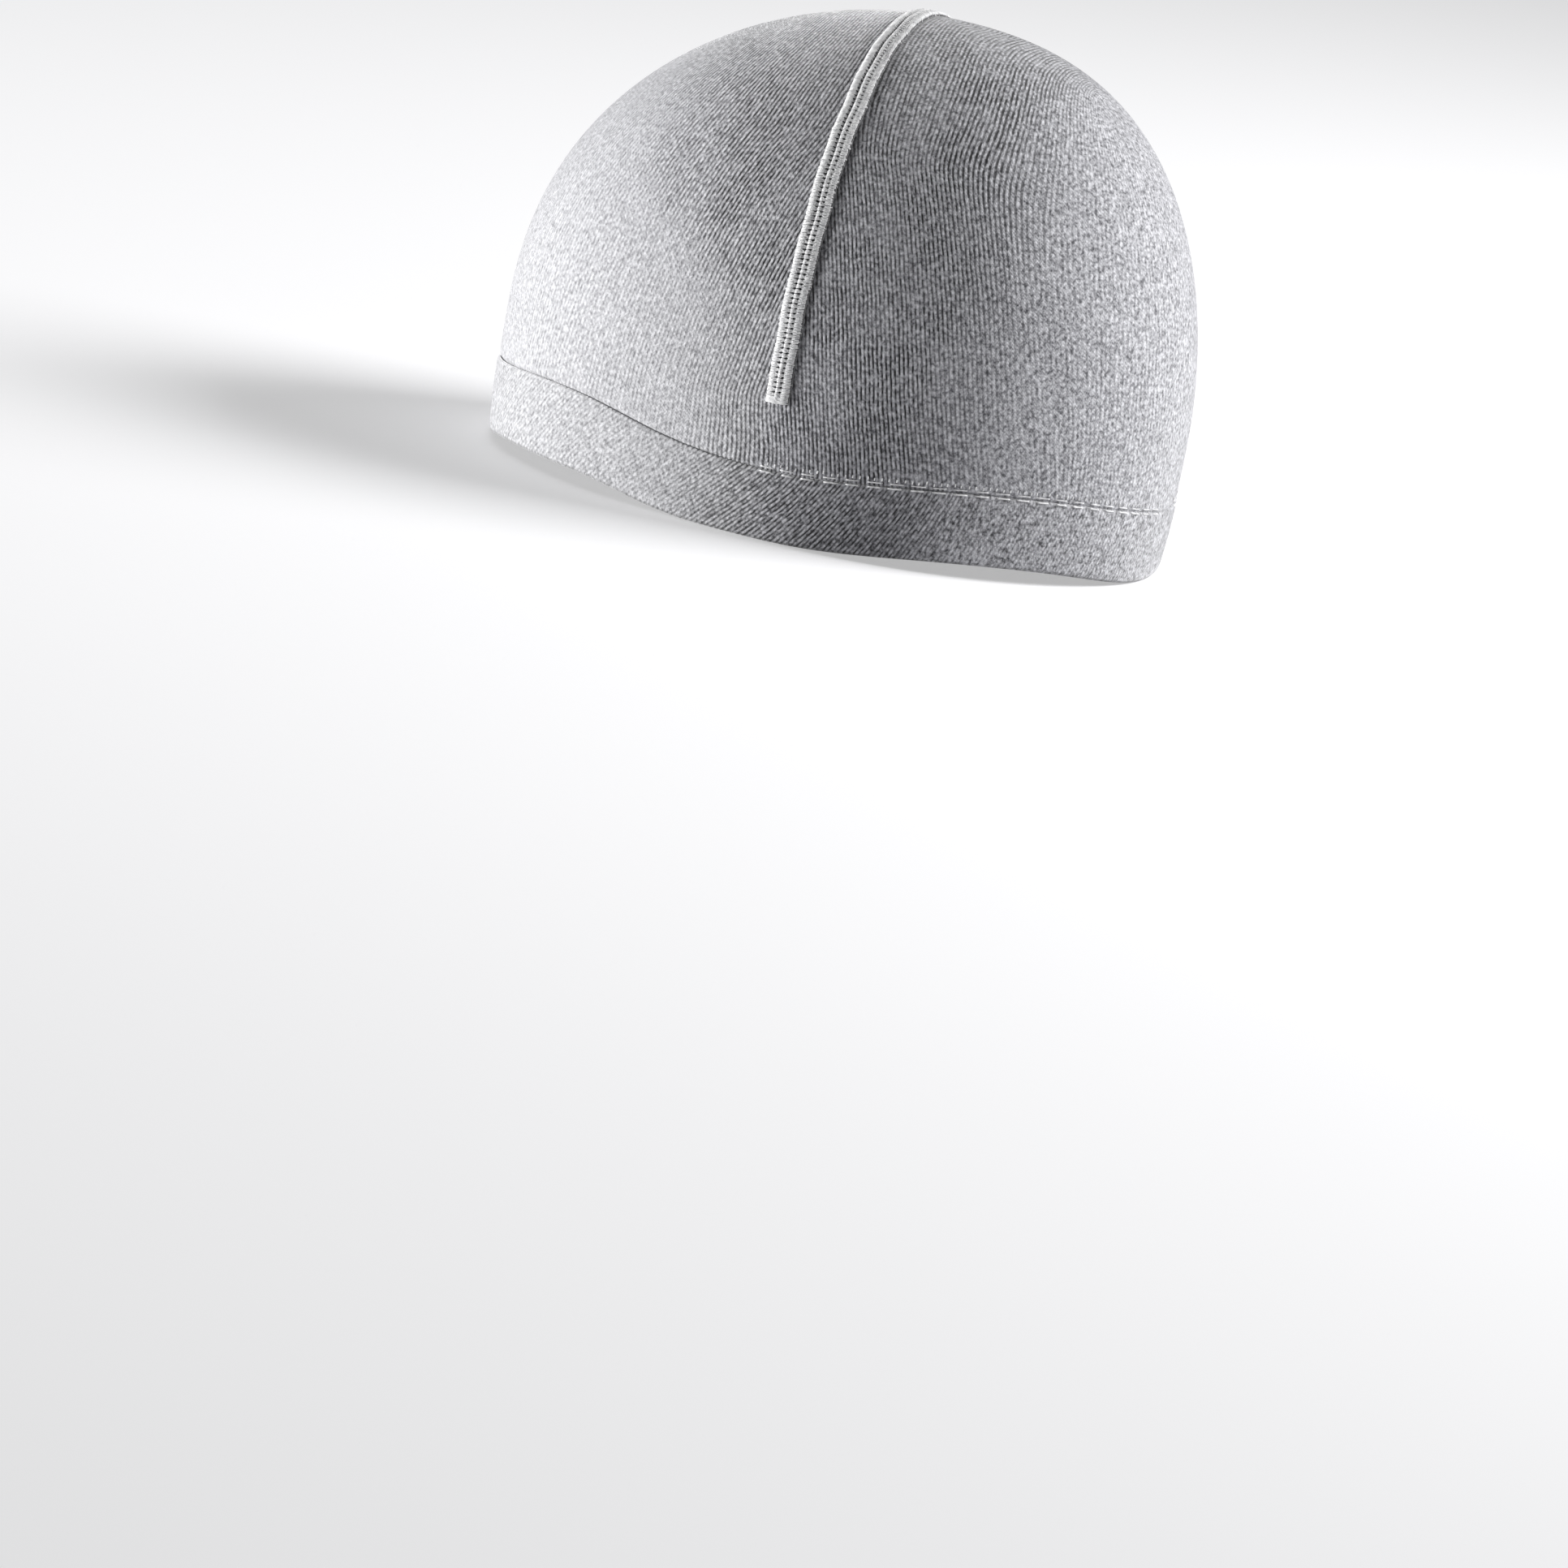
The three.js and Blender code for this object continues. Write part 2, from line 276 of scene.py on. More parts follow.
# how firmly a vertex is tied to its value, and how near the seam's plane counts as on it, in metres
TIED, ON_PLANE = 1e3, 2e-5

# the seam's angle round the form at each level, by halving
low_angle = np.full_like(levels, math.radians(40))
high_angle = np.full_like(levels, math.radians(175))
for _ in range(40):
    between = (low_angle + high_angle) / 2
    before = form(between, levels)[:, 1] < seam_y(levels)
    low_angle, high_angle = np.where(before, between, low_angle), np.where(before, high_angle, between)
seam_angle = low_angle

lean = np.interp(levels, LEAN_LEVELS, LEAN)
ended = np.concatenate([[0], np.cumsum(np.tan(lean[:-1]) * np.diff(side_run))]) * 1000
dome.verts.index_update()
ends = np.array([[edge.verts[0].index, edge.verts[1].index] for edge in dome.edges])
pull = np.array([sum(f.calc_area() for f in e.link_faces) / max(len(e.link_faces), 1) / e.calc_length() ** 2
                 for e in dome.edges])
knit = np.array([vert.co for vert in dome.verts])
from_seam = behind_plane(knit)
on_seam = np.abs(from_seam) < ON_PLANE
seam_run = np.interp(knit[:, 2], levels, side_run)


def relaxed(values, hold, used):
    """Spreads values evenly over the knit, by conjugate gradients; hold ties a vertex to its value."""
    within = used[ends[:, 0]] & used[ends[:, 1]]
    a, b = ends[within].T
    stiff, hold = pull[within], hold * used
    total = np.bincount(a, stiff, len(values)) + np.bincount(b, stiff, len(values)) + hold + 1e-30

    def tension(x):
        difference = stiff * (x[a] - x[b])
        return np.bincount(a, difference, len(x)) - np.bincount(b, difference, len(x)) + hold * x

    x = values * used
    rest = hold * values - tension(x)
    move = rest / total
    size = rest @ move
    for _ in range(900):
        answer = tension(move)
        step = size / max(move @ answer, 1e-30)
        x = x + step * move
        rest = rest - step * answer
        eased = rest / total
        size, before = rest @ eased, size
        if size < 1e-9:
            break
        move = eased + size / before * move
    return x


# mm from the seam: tied at the seam and at the middle of front and back, free over the top
gone, behind = np.interp(knit[:, 2], levels, ended), from_seam * 1000
carried = 2 * np.minimum(gone, np.interp(SEAM_START, levels, ended)) * np.exp(np.minimum(behind, 0) / FADE)
loosened = np.clip(np.maximum((0.060 - np.abs(knit[:, 0])) / 0.030, (knit[:, 2] - 0.106) / 0.020), 0, 1)
central = (np.abs(knit[:, 0]) < 1e-5) & (knit[:, 2] < 0.125)
hold = np.where(on_seam | central, TIED, 10 ** (-4.5 * loosened))
panels = {}
for is_back in (True, False):
    used = (from_seam > -ON_PLANE) if is_back else (from_seam < ON_PLANE)
    wale_of = behind + gone if is_back else FRONT_STRETCH * behind + carried - gone
    wale_of = np.where(central, MIDDLE if is_back else -MIDDLE, wale_of)
    panels[is_back] = (relaxed(wale_of, hold, used),
                       relaxed(seam_run * 1000, TIED * (on_seam | (knit[:, 2] < 0.112)), used))
wales = dome.loops.layers.uv.new("wales")
for face in dome.faces:
    spot = face.calc_center_median()
    fields, flank = panels[(spot - SEAM_POINT).dot(SEAM_NORMAL) > 0], 1 if spot.x > 0 else -1
    for loop in face.loops:
        loop[wales].uv = (flank * fields[0][loop.vert.index], fields[1][loop.vert.index])

# fine melange wool jersey: grey and white fibres spun together, so that it looks salt and pepper,
# knitted 8 wales to the cm. The gaps between wales are painted with shade as short dark dashes,
# uneven along each wale, and the woolly fibres give a soft pale sheen towards the edges. Towards the
# front and the back, where the lamps light the knit face on, the painted gap shade fades and only the
# mottle of the fibres is left, calmer at the front.
jersey = bpy.data.materials.new("melange_wool_jersey")
jersey.use_nodes = True
tree = jersey.node_tree
tree.nodes.clear()
coords = node(tree, "TexCoord").outputs["Object"]
side = node(tree, "SeparateXYZ", {"Vector": coords})

# wales and courses, which waver by 0.35 mm over about 6 mm
uv = node(tree, "UVMap", uv_map="wales")
waver = node(tree, "TexNoise", {"Vector": coords}, in_Scale=170.0, in_Detail=2.0)
waver_mm = node(tree, "VectorMath", {0: waver.outputs["Color"]}, operation="MULTIPLY_ADD",
                in_1=(0.7, 0.7, 0.0), in_2=(-0.35, -0.35, 0.0))
place = node(tree, "VectorMath", {0: uv, 1: waver_mm}, operation="ADD")
split = node(tree, "SeparateXYZ", {"Vector": place})
wale = node(tree, "Math", {0: split.outputs["X"]}, operation="DIVIDE", in_1=WALE)
row = node(tree, "Math", {0: split.outputs["Y"]}, operation="DIVIDE", in_1=COURSE)
from_middle = node(tree, "Math", {0: wale}, operation="PINGPONG", in_1=0.5)
gap = node(tree, "MapRange", {"Value": from_middle}, interpolation_type="SMOOTHSTEP", in_1=0.14, in_2=0.42,
           name="gap")

# the painted gap shade lies in dashes about 1.8 mm long along each gap, in patches about 13 mm across
gap_number = node(tree, "Math", {0: wale}, operation="FLOOR")
gap_place = node(tree, "Math", {0: gap_number}, operation="MULTIPLY", in_1=3.71)
along_gap = node(tree, "Math", {0: split.outputs["Y"]}, operation="DIVIDE", in_1=1.8)
dash_place = node(tree, "CombineXYZ", {"X": gap_place, "Y": along_gap})
dash_noise = node(tree, "TexNoise", {"Vector": dash_place}, in_Scale=1.0, in_Detail=1.0)
dash = node(tree, "MapRange", {"Value": dash_noise}, in_1=0.36, in_2=0.56, in_3=0.45)
patch = node(tree, "TexNoise", {"Vector": coords}, in_Scale=75.0, in_Detail=3.0)
patch_share = node(tree, "MapRange", {"Value": patch}, in_1=0.36, in_2=0.56, in_3=0.7, name="patches")
gap_dash = node(tree, "Math", {0: gap, 1: dash}, operation="MULTIPLY")
gap_patch = node(tree, "Math", {0: gap_dash, 1: patch_share}, operation="MULTIPLY")

# the painted gap shade fades towards the front, high up further back than low down, and towards the
# back, where the lamps light the knit face on
high_up = node(tree, "MapRange", {"Value": side.outputs["Z"]}, interpolation_type="SMOOTHSTEP",
               in_1=0.055, in_2=0.095, in_4=0.036)
forward = node(tree, "Math", {0: side.outputs["Y"], 1: high_up}, operation="ADD")
front_shade_fade = node(tree, "MapRange", {"Value": forward}, interpolation_type="SMOOTHSTEP",
                     in_1=-0.030, in_2=0.012, in_3=0.3)
back_shade_fade = node(tree, "MapRange", {"Value": side.outputs["Y"]}, interpolation_type="SMOOTHSTEP",
                    in_1=0.038, in_2=0.066, in_3=1.0, in_4=0.28)
shade_fade = node(tree, "Math", {0: front_shade_fade, 1: back_shade_fade}, operation="MULTIPLY")
dark = node(tree, "Math", {0: gap_patch, 1: shade_fade}, operation="MULTIPLY")

# the two legs of each stitch slant up to its middle
leg_place = node(tree, "Math", {0: from_middle, 2: row}, operation="MULTIPLY_ADD", in_1=1.3, name="leg_place")
leg_turn = node(tree, "Math", {0: leg_place}, operation="MULTIPLY", in_1=2 * math.pi)
leg = node(tree, "Math", {0: leg_turn}, operation="COSINE")

# flecks about 1.1 mm across, coarser than the wool's fibres, which are too fine to show
fibre = node(tree, "TexNoise", {"Vector": coords}, in_Scale=900.0, in_Detail=2.0, in_Roughness=0.6)
blend = node(tree, "MapRange", {"Value": fibre}, in_1=0.3, in_2=0.7, in_3=-0.5, in_4=0.5)
# the fibres' mottle is calmer towards the front, where the lamps light the knit face on
mottle = node(tree, "MapRange", {"Value": front_shade_fade}, in_3=0.38)
calm = node(tree, "Math", {0: blend, 1: mottle}, operation="MULTIPLY_ADD", in_2=0.5)
fibres = node(tree, "Mix", {"Factor": calm}, data_type="RGBA", in_6=linear("#5e5e62"), in_7=linear("#dcdcdf"),
              name="fibres")
# painted shade: the gaps between wales are darkened in colour
shadow = node(tree, "Mix", {"Factor": dark, 6: fibres.outputs[2]}, data_type="RGBA", blend_type="MULTIPLY",
              in_7=linear("#262628"))

# painted shade in the knit just behind the top seam, where its ridge shades it, from the seam's foot upwards
plane_mm = 1000 * SEAM_POINT.dot(SEAM_NORMAL)
plane_distance = node(tree, "VectorMath", {0: coords}, operation="DOT_PRODUCT",
                      in_1=tuple(1000 * SEAM_NORMAL))
past_seam = node(tree, "Math", {0: waver_mm, 1: plane_distance.outputs["Value"]}, operation="ADD")
painted_seam_shade = node(tree, "MapRange", {"Value": past_seam}, interpolation_type="SMOOTHSTEP",
              in_1=plane_mm + 3.3, in_2=plane_mm + 6.0, in_3=0.55, in_4=0.0, name="painted_seam_shade")
behind_seam = node(tree, "Math", {0: plane_distance.outputs["Value"]}, operation="GREATER_THAN",
                   in_1=plane_mm + 1)
above_foot = node(tree, "MapRange", {"Value": side.outputs["Z"]}, in_1=SEAM_START - 0.001,
                  in_2=SEAM_START + 0.002)
painted_seam_shade_back = node(tree, "Math", {0: painted_seam_shade, 1: behind_seam}, operation="MULTIPLY")
painted_seam_shade_mask = node(tree, "Math", {0: painted_seam_shade_back, 1: above_foot}, operation="MULTIPLY")
seam_shaded_tone = node(tree, "Mix", {"Factor": painted_seam_shade_mask, 6: shadow.outputs[2]}, data_type="RGBA",
                   blend_type="MULTIPLY", in_7=linear("#262628"))

# painted shade: the back panel is a little darker, and the front panel darker still high up, as the lamps
# light the two panels differently
panel = node(tree, "MapRange", {"Value": side.outputs["Y"]}, interpolation_type="SMOOTHSTEP",
             in_1=-0.004, in_2=0.010)
front_high_shade = node(tree, "MapRange", {"Value": side.outputs["Z"]}, interpolation_type="SMOOTHSTEP",
               in_1=0.040, in_2=0.130)
front_panel_shade = node(tree, "Mix", {"Factor": front_high_shade}, data_type="RGBA", in_6=(1, 1, 1, 1),
                 in_7=linear("#e5e5e7"))
panel_shade = node(tree, "Mix", {"Factor": panel, 6: front_panel_shade.outputs[2]}, data_type="RGBA",
           in_7=linear("#f6f6f8"))
# painted shade: the knit is darker low down behind the side, holding back the pale floor's light from below
low = node(tree, "MapRange", {"Value": side.outputs["Z"]}, in_1=0.0, in_2=0.050, in_3=1.0, in_4=0.0)
behind_side = node(tree, "MapRange", {"Value": side.outputs["Y"]}, in_1=0.005, in_2=0.030)
low_back = node(tree, "Math", {0: low, 1: behind_side}, operation="MULTIPLY")
painted_low_shade = node(tree, "Math", {0: low_back, 1: back_shade_fade}, operation="MULTIPLY")
low_shaded_tone = node(tree, "Mix", {"Factor": painted_low_shade, 6: seam_shaded_tone.outputs[2]}, data_type="RGBA",
                     blend_type="MULTIPLY", in_7=linear("#cacacc"))
tone = node(tree, "Mix", {6: low_shaded_tone.outputs[2], 7: panel_shade.outputs[2]}, data_type="RGBA",
            blend_type="MULTIPLY", in_0=1.0, name="tone")

rib = node(tree, "Math", {0: leg, 2: fibre}, operation="MULTIPLY_ADD", in_1=0.12, name="rib")
height = node(tree, "Math", {0: rib, 1: dark}, operation="SUBTRACT")
relief = node(tree, "Bump", {"Height": height}, in_Strength=0.8, in_Distance=0.00025)
wool = node(tree, "BsdfPrincipled", {"Base Color": tone.outputs[2], "Normal": relief}, in_Roughness=0.92,
            in_Sheen_Weight=0.5, in_Sheen_Roughness=0.5, in_Specular_IOR_Level=0.25, name="wool")
node(tree, "OutputMaterial", {"Surface": wool})

# the purl side of the same knit, which lines the cap: low cross ridges in place of upright wales
purl = jersey.copy()
purl.name = "melange_wool_purl"
parts = purl.node_tree.nodes
parts["gap"].inputs[4].default_value = 0.35
parts["leg_place"].inputs[1].default_value = 0.25
# no painted seam shade on the lining side
parts["painted_seam_shade"].inputs[3].default_value = 0.0
parts["rib"].inputs[1].default_value = 0.7

crown = finished("crown_jersey", dome, [jersey, purl])
wall = crown.modifiers.new("wall", "SOLIDIFY")
wall.thickness, wall.offset, wall.use_even_offset, wall.material_offset = 0.0014, -1, True, 1
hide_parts("crown")

# Hem: the jersey turned up on itself into a doubled welt 20 mm high, whose two layers hold the
# crown's lower edge. Its section is spun round and laid onto the form, between rim and top line.
HEM_HEIGHT, TIGHTER = 0.02, 1.05
HEM_SECTION = [  # (out from the form in mm, share of the height), from the outside top downwards
    (-0.8, 0.735), (-0.8, 0.985), (-0.45, 0.999), (0.0, 0.992), (0.3, 0.974), (0.42, 0.94), (0.5, 0.75),
    (0.5, 0.5), (0.4, 0.25), (0.3, 0.11), (0.0, 0.045), (-0.5, 0.01), (-1.1, 0.0), (-1.7, 0.01),
    (-2.2, 0.045), (-2.4, 0.11), (-2.8, 0.30), (-3.3, 0.60), (-3.7, 0.90), (-3.7, 0.96), (-3.4, 0.99),
    (-3.0, 1.0), (-2.7, 0.99), (-2.6, 0.96), (-2.6, 0.735)]
band = spun_ring([(1 + out / 1000, HEM_HEIGHT * share) for out, share in HEM_SECTION], ROUND_STEPS, True)
seat = np.array([(math.atan2(v.co.y, v.co.x), math.hypot(v.co.x, v.co.y) - 1, v.co.z / HEM_HEIGHT)
                 for v in band.verts])
lowest, highest = line_round(seat[:, 0], RIM), line_round(seat[:, 0], HEM_TOP)
settled(band, form(seat[:, 0], lowest + (highest - lowest) * seat[:, 2], seat[:, 1]))

# the welt's wales slant: by 17 to 19 degrees at the sides and the back, and by up to 48 at the front
SLANT_RUNS, SLANTS = [0, 130, 205, 282], np.radians([48, 44, 19, 17])
rim_angles = np.linspace(0, math.pi, 361)
rim_line = form(rim_angles, np.zeros_like(rim_angles))
rim_run = np.concatenate([[0], np.cumsum(np.linalg.norm(np.diff(rim_line, axis=0), axis=1))]) * 1000
slant_table = np.interp(rim_run, SLANT_RUNS, SLANTS)
wales_round = np.concatenate([[0], np.cumsum(TIGHTER * np.cos(slant_table[:-1]) * np.diff(rim_run))])
arc = np.interp(np.abs(seat[:, 0]), rim_angles, rim_run)
slant, round_to = np.interp(arc, rim_run, slant_table), np.interp(arc, rim_run, wales_round)
run_up = 1000 * HEM_HEIGHT * seat[:, 2]
across = TIGHTER * np.sin(slant) * (run_up - 500 * HEM_HEIGHT)
inner_layer = seat[:, 1] < -0.0011
layer = band.loops.layers.uv.new("wales")
band.verts.index_update()
for face in band.faces:
    flank = 1 if face.calc_center_median().x > 0 else -1
    for loop in face.loops:
        n = loop.vert.index
        loop[layer].uv = (flank * round_to[n] - across[n], -run_up[n] if inner_layer[n] else run_up[n])

# doubled melange welt: the same wool, knitted tighter, so it is a little darker and shows fine slanting
# lines; its darker fibres and denser gap dashes are also painted shade for the shade the welt lies in
welt = jersey.copy()
welt.name = "melange_wool_welt"
tree, parts = welt.node_tree, welt.node_tree.nodes
parts["fibres"].inputs[6].default_value = linear("#49494c")
parts["patches"].inputs[3].default_value = 0.85
# the rolled top edge stands up a little, and a thin pale line under the crease is a painted highlight
# where it would catch the light; the fold at the rim is darkened with painted shade
welt_map = node(tree, "UVMap", uv_map="wales")
up_welt = node(tree, "SeparateXYZ", {"Vector": welt_map})
edge = node(tree, "MapRange", {"Value": up_welt.outputs["Y"]}, interpolation_type="SMOOTHSTEP",
            in_1=19.0, in_2=19.5, in_4=0.12)
# painted highlight: a thin pale line along the welt's top edge
rolled = node(tree, "Mix", {"Factor": edge, 6: parts["tone"].outputs[2]}, data_type="RGBA",
              in_7=linear("#f4f4f6"))
from_rim = node(tree, "Math", {0: up_welt.outputs["Y"]}, operation="ABSOLUTE")
# painted shade along the fold at the rim
fold = node(tree, "MapRange", {"Value": from_rim}, interpolation_type="SMOOTHSTEP",
            in_1=0.4, in_2=1.3, in_3=0.55, in_4=0.0)
folded = node(tree, "Mix", {"Factor": fold, 6: rolled.outputs[2]}, data_type="RGBA", blend_type="MULTIPLY",
              in_7=linear("#3c3c3e"))
tree.links.new(folded.outputs[2], parts["wool"].inputs["Base Color"])
hem = finished("turned_hem", band, [welt])
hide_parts("hem_band")

# Top seam: a flatlock seam that joins front and back panel edge to edge over the top, from side
# to side. It is a low flat ridge 6.8 mm wide of turned-in wool under pale covering thread.
climb = form(seam_angle, levels)[levels >= SEAM_START]
climb = climb[(climb[:, 0] > 1e-4) & (np.abs(behind_plane(climb)) < 1e-5)]
midline = form(np.zeros_like(levels), levels)[levels > WIDEST]
summit = np.interp(0, midline[:, 1] - seam_y(midline[:, 2]), midline[:, 2])
whole = np.concatenate([climb, [[0, seam_y(summit), summit]], climb[::-1] * (-1, 1, 1)])
length = np.concatenate([[0], np.cumsum(np.linalg.norm(np.diff(whole, axis=0), axis=1))]) * 1000
full = length[-1]
stations = np.linspace(0, full, 1201)
path = np.stack([np.interp(stations, length, whole[:, k]) for k in range(3)], -1)
tangent = np.gradient(path, axis=0)
tangent /= np.linalg.norm(tangent, axis=1, keepdims=True)
outward = np.cross(tangent, np.array(SEAM_NORMAL))
outward *= np.sign(np.sum(outward * (path - (0, SUMMIT_BACK, 0.05)), axis=1))[:, None]
outward /= np.linalg.norm(outward, axis=1, keepdims=True)


def on_ridge(along, aside, lift):
    """A place on the top seam: mm along from its left end, mm behind its middle, mm above the crown.
    The whole seam sways by up to 0.2 mm, as it does where it is sewn over a curve."""
    along = np.asarray(along, float)
    sway = 0.12 * np.sin(along / 6.1) + 0.1 * np.sin(along / 2.7 + 1)
    spot, out, ahead = [np.stack([np.interp(along, stations, field[:, k]) for k in range(3)], -1)
                        for field in (path, outward, tangent)]
    past = (along - np.clip(along, 0, full))[..., None]
    return (spot + ahead * past / 1000 + np.array(SEAM_NORMAL) * (np.asarray(aside) + sway)[..., None] / 1000
            + out * (np.asarray(lift) + 0.2)[..., None] / 1000)


def needle_rows(along):
    """Where the two needle rows lie, in mm behind the seam's middle: both move back above its ends."""
    up_along = np.minimum(along, full - along)
    return [np.interp(up_along, [0, 10, 45], row) for row in ((-1.05, -0.95, -0.55), (0.5, 0.75, 1.05))]


def ridge(along, aside):
    """Height of the ridge in mm: its front band slopes, and the needle rows are pressed into it."""
    along, aside = np.asarray(along, float), np.asarray(aside, float)
    front_row, back_row = needle_rows(along)
    upper_part = np.interp(np.minimum(along, full - along), [12, 40], [0, 1])
    body = np.interp(aside, [-3.4, -3.25, -2.7, -1.6, -0.9, 0.2, 0.9, 2.0, 2.9, 3.25, 3.4],
                     [0, 0.42, 0.64, 0.98, 1.12, 1.2, 1.14, 0.98, 0.8, 0.5, 0])
    return (body - (0.6 + 0.2 * upper_part) * np.exp(-((aside - front_row) / 0.3) ** 2)
            - (0.45 - 0.15 * upper_part) * np.exp(-((aside - back_row) / 0.28) ** 2))


def rod(segments, cuts):
    """A straight rod from z -1 to 1, cut across along its length, to be bent into place."""
    made = bmesh.new()
    bmesh.ops.create_cone(made, cap_ends=True, segments=segments, radius1=1, radius2=1, depth=2)
    lengthwise = [e for e in made.edges if abs(e.verts[0].co.z - e.verts[1].co.z) > 1]
    bmesh.ops.subdivide_edges(made, edges=lengthwise, cuts=cuts)
    return made


# corners of the ridge's section, in mm behind its middle: over its top, and then back under it
OVER = [-3.4, -3.2, -2.8, -2.2, -1.6, -1.25, -1.0, -0.8, -0.6, -0.3, 0.0, 0.3, 0.6, 0.8, 1.0, 1.25, 1.7,
        2.3, 2.9, 3.25, 3.4]
UNDER = [2.0, 0.0, -2.0]
CORNERS = len(OVER + UNDER)
core = rod(CORNERS, 619)
spots = np.array([v.co for v in core.verts])
corner = np.round(np.arctan2(spots[:, 1], spots[:, 0]) / (2 * math.pi) * CORNERS).astype(int) % CORNERS
aside = np.array(OVER + UNDER)[corner]
along = (spots[:, 2] + 1) / 2 * full
lift = np.where(corner < len(OVER), ridge(along, aside) - 0.22, -0.6)
settled(core, on_ridge(along, aside, lift))

# turned-in edges of the wool: darker than the crown, because they lie in the shade of the thread
turned = jersey.copy()
turned.name = "turned_in_wool"
turned.node_tree.nodes["fibres"].inputs[6].default_value = linear("#3c3c3f")
turned.node_tree.nodes["fibres"].inputs[7].default_value = linear("#77777a")
edge_uv = core.loops.layers.uv.new("wales")
core.verts.index_update()
for face in core.faces:
    for loop in face.loops:
        loop[edge_uv].uv = (aside[loop.vert.index], along[loop.vert.index])
seam = finished("flatlock_seam", core, [turned])
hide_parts("crown_seam")

# Covering thread of the top seam: three turns of soft white thread to a stitch cross the ridge
# from edge to edge, and the needle thread pulls them together at each stitch of its two rows.
STITCH, TURN_POINTS = 1.35, 12
TURN_SPREAD = np.array([0.3, 0.42, 0.46, 0.44, 0.2, 0.4, 0.4, 0.2, 0.44, 0.46, 0.42, 0.3])
rng = np.random.default_rng(7)

# white woolly thread: textured polyester, nearly white and matt, with a loose twist that shows as
# slanting lines 0.2 mm apart and makes it a little uneven in tone
thread = bpy.data.materials.new("white_woolly_thread")
thread.use_nodes = True
tree = thread.node_tree
tree.nodes.clear()
coords = node(tree, "TexCoord").outputs["Object"]
bulk = node(tree, "TexNoise", {"Vector": coords}, in_Scale=900.0, in_Detail=3.0)
thread_tone = node(tree, "MapRange", {"Value": bulk}, in_1=0.3, in_2=0.7)
thread_mix = node(tree, "Mix", {"Factor": thread_tone}, data_type="RGBA", in_6=linear("#c4c4c6"),
                  in_7=linear("#f4f4f4"))
twist = node(tree, "TexWave", {"Vector": coords}, in_Scale=1800.0, in_Distortion=1.0, wave_type="BANDS",
             bands_direction="DIAGONAL")
thread_relief = node(tree, "Bump", {"Height": twist.outputs["Fac"]}, in_Strength=0.5, in_Distance=0.0001)
covering = node(tree, "BsdfPrincipled", {"Base Color": thread_mix.outputs[2], "Normal": thread_relief},
                in_Roughness=0.85, in_Sheen_Weight=0.3)
node(tree, "OutputMaterial", {"Surface": covering})


def template(name, made):
    """Keeps a bmesh as a mesh to be copied, and returns it with its points."""
    mesh = bpy.data.meshes.new(name)
    made.to_mesh(mesh)
    made.free()
    return mesh, np.array([v.co for v in mesh.vertices])


def sewn(name, copies):
    """Makes a piece of white thread from (template, places), one for each turn or stitch."""
    stitches_made = bmesh.new()
    for shape, _ in copies:
        stitches_made.from_mesh(shape)
    settled(stitches_made, np.concatenate([places for _, places in copies]))
    finished(name, stitches_made, [thread])


def turn_along(alongs, asides, ups, radius):
    """Places of one turn of the thread, which follows twelve points across the ridge."""
    return on_ridge(alongs[point_of] + turn_points[:, 0] * radius, asides[point_of],
                    ups[point_of] + turn_points[:, 1] * radius)


turn_mesh, turn_points = template("turn", rod(5, TURN_POINTS - 2))
point_of = np.round((turn_points[:, 2] + 1) / 2 * (TURN_POINTS - 1)).astype(int)
stitches = int(full / STITCH)
turns = []
for number in range(stitches * 3):
    stitch, member = number // 3, number % 3 - 1
    middle_along = (stitch + 0.5) * full / stitches
    front_row, back_row = [float(row) for row in needle_rows(middle_along)]
    asides = np.array([-3.35, -3.1, -2.4, front_row - 0.8, front_row, front_row + 0.45, back_row - 0.5,
                       back_row, back_row + 0.6, 2.3, 3.0, 3.3])
    asides = asides + rng.normal(0, 0.06, TURN_POINTS)
    alongs = middle_along + member * TURN_SPREAD + 0.07 * asides + rng.normal(0, 0.04, TURN_POINTS)
    ups = ridge(alongs, asides) + rng.normal(0, 0.03, TURN_POINTS)
    ups[[0, -1]] = -0.15
    turns.append((turn_mesh, turn_along(alongs, asides, ups - 0.1, 0.2 + 0.04 * rng.random())))
sewn("covering_thread", turns)

# Needle thread: one short stitch after the other in both rows, pressed into the covering thread.
# Above the seam's ends the front row sinks deeper into it.
BEAD_SIZE = (0.46, 0.2, 0.17)
bead = bmesh.new()
bmesh.ops.create_icosphere(bead, subdivisions=1, radius=1)
bead_mesh, bead_points = template("bead", bead)
bead_along, bead_aside, bead_up = (bead_points * BEAD_SIZE).T
beads = []
for stitch in range(stitches):
    middle_along = (stitch + 0.5) * full / stitches
    sunk = np.interp(min(middle_along, full - middle_along), [14, 34], [0, 0.4])
    for needle_place, depth in zip(needle_rows(middle_along), (sunk, 0.02)):
        spot = float(needle_place) + rng.normal(0, 0.05)
        above = float(ridge(middle_along, spot)) + 0.12 - depth
        beads.append((bead_mesh, on_ridge(middle_along + bead_along, spot + bead_aside, above + bead_up)))
sewn("needle_thread", beads)

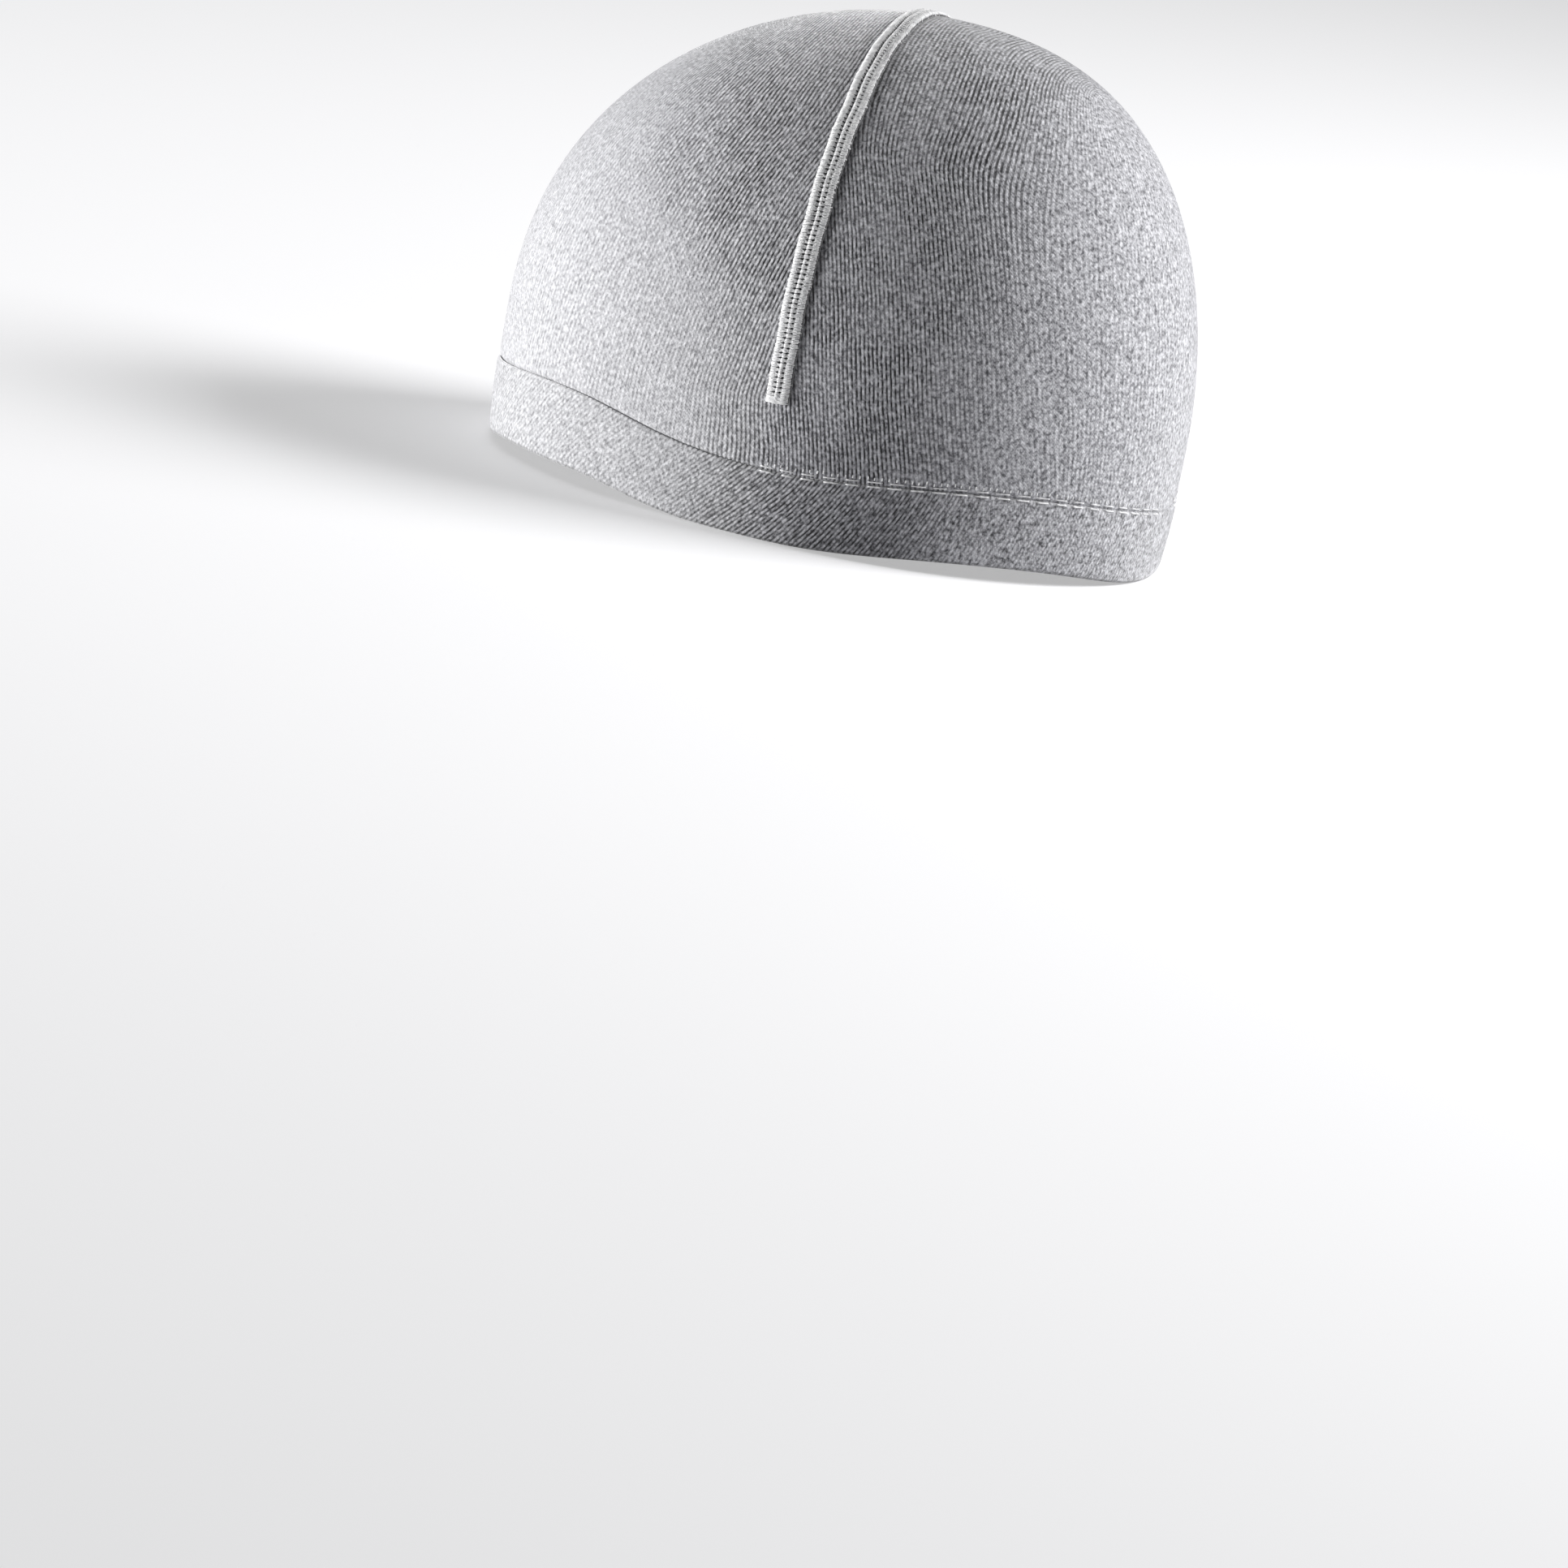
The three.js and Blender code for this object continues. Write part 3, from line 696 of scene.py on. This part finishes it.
# Bartacks: at each end the seam is closed by a few tight stitches across it, so it can't unravel.
for name, end, inward in (("seam_tack_left", 0.0, 1), ("seam_tack_right", full, -1)):
    tacks = []
    for k in range(6):
        asides = np.linspace(-3.1, 3.1, TURN_POINTS) + rng.normal(0, 0.07, TURN_POINTS)
        alongs = end + inward * (-0.15 + 0.3 * k) + 0.03 * asides + rng.normal(0, 0.05, TURN_POINTS)
        ups = 0.95 * (1 - (asides / 3.5) ** 4) + 0.1 + rng.normal(0, 0.04, TURN_POINTS)
        ups[[0, -1]] = -0.15
        tacks.append((turn_mesh, turn_along(alongs, asides, ups, 0.2)))
    sewn(name, tacks)

# Hem stitches: where the hem meets the crown behind its sides, pale stitches 4 mm long lie in two
# rows, above and below the crease, with three small loops over each.
PITCH, FIRST_ARC, THICKNESS = 5.9, 142.0, 0.17
CREASE_HEIGHTS, CREASE_OUTS = np.array([(-2, 0.45), (-1, 0.42), (-0.5, 0.3), (0, -0.2), (0.35, -0.28),
                                        (0.65, -0.14), (1, -0.06), (1.6, -0.02), (3.2, 0)]).T


def by_hem(arc_mm, above, out):
    """A place at the hem's top line: mm round from the front, mm above the line, mm outwards."""
    angle = np.sign(arc_mm) * np.interp(np.abs(arc_mm), rim_run, rim_angles)
    lie = np.interp(above, CREASE_HEIGHTS, CREASE_OUTS)
    return form(angle, line_round(angle, HEM_TOP) + np.asarray(above) / 1000, (lie + out) / 1000)


dash_mesh, dash_points = template("dash", rod(6, 4))
dash_x, dash_y, dash_z = dash_points.T
links = []
for flank in (1, -1):
    for k in range(int((rim_run[-1] - 1 - FIRST_ARC) / PITCH)):
        for above, sunk in ((0.8, 0.04), (-0.42, 0.02)):
            start = FIRST_ARC + k * PITCH + rng.normal(0, 0.15)
            arcs = start + dash_z * (1.9 + rng.normal(0, 0.15))
            bow = 0.17 * (1 - dash_z ** 4) - sunk
            links.append((dash_mesh, by_hem(flank * arcs, above + dash_y * THICKNESS,
                                            bow + dash_x * THICKNESS)))
        for loop_step in (0.0, 1.97, 3.93):
            start = FIRST_ARC + k * PITCH + loop_step + rng.normal(0, 0.15)
            above = 1.8 + rng.normal(0, 0.1)
            links.append((dash_mesh, by_hem(flank * (start + dash_x * 0.2), above + dash_z * 0.4,
                                            0.05 + dash_y * THICKNESS)))
sewn("hem_stitches", links)
for spare in (turn_mesh, bead_mesh, dash_mesh):
    bpy.data.meshes.remove(spare)
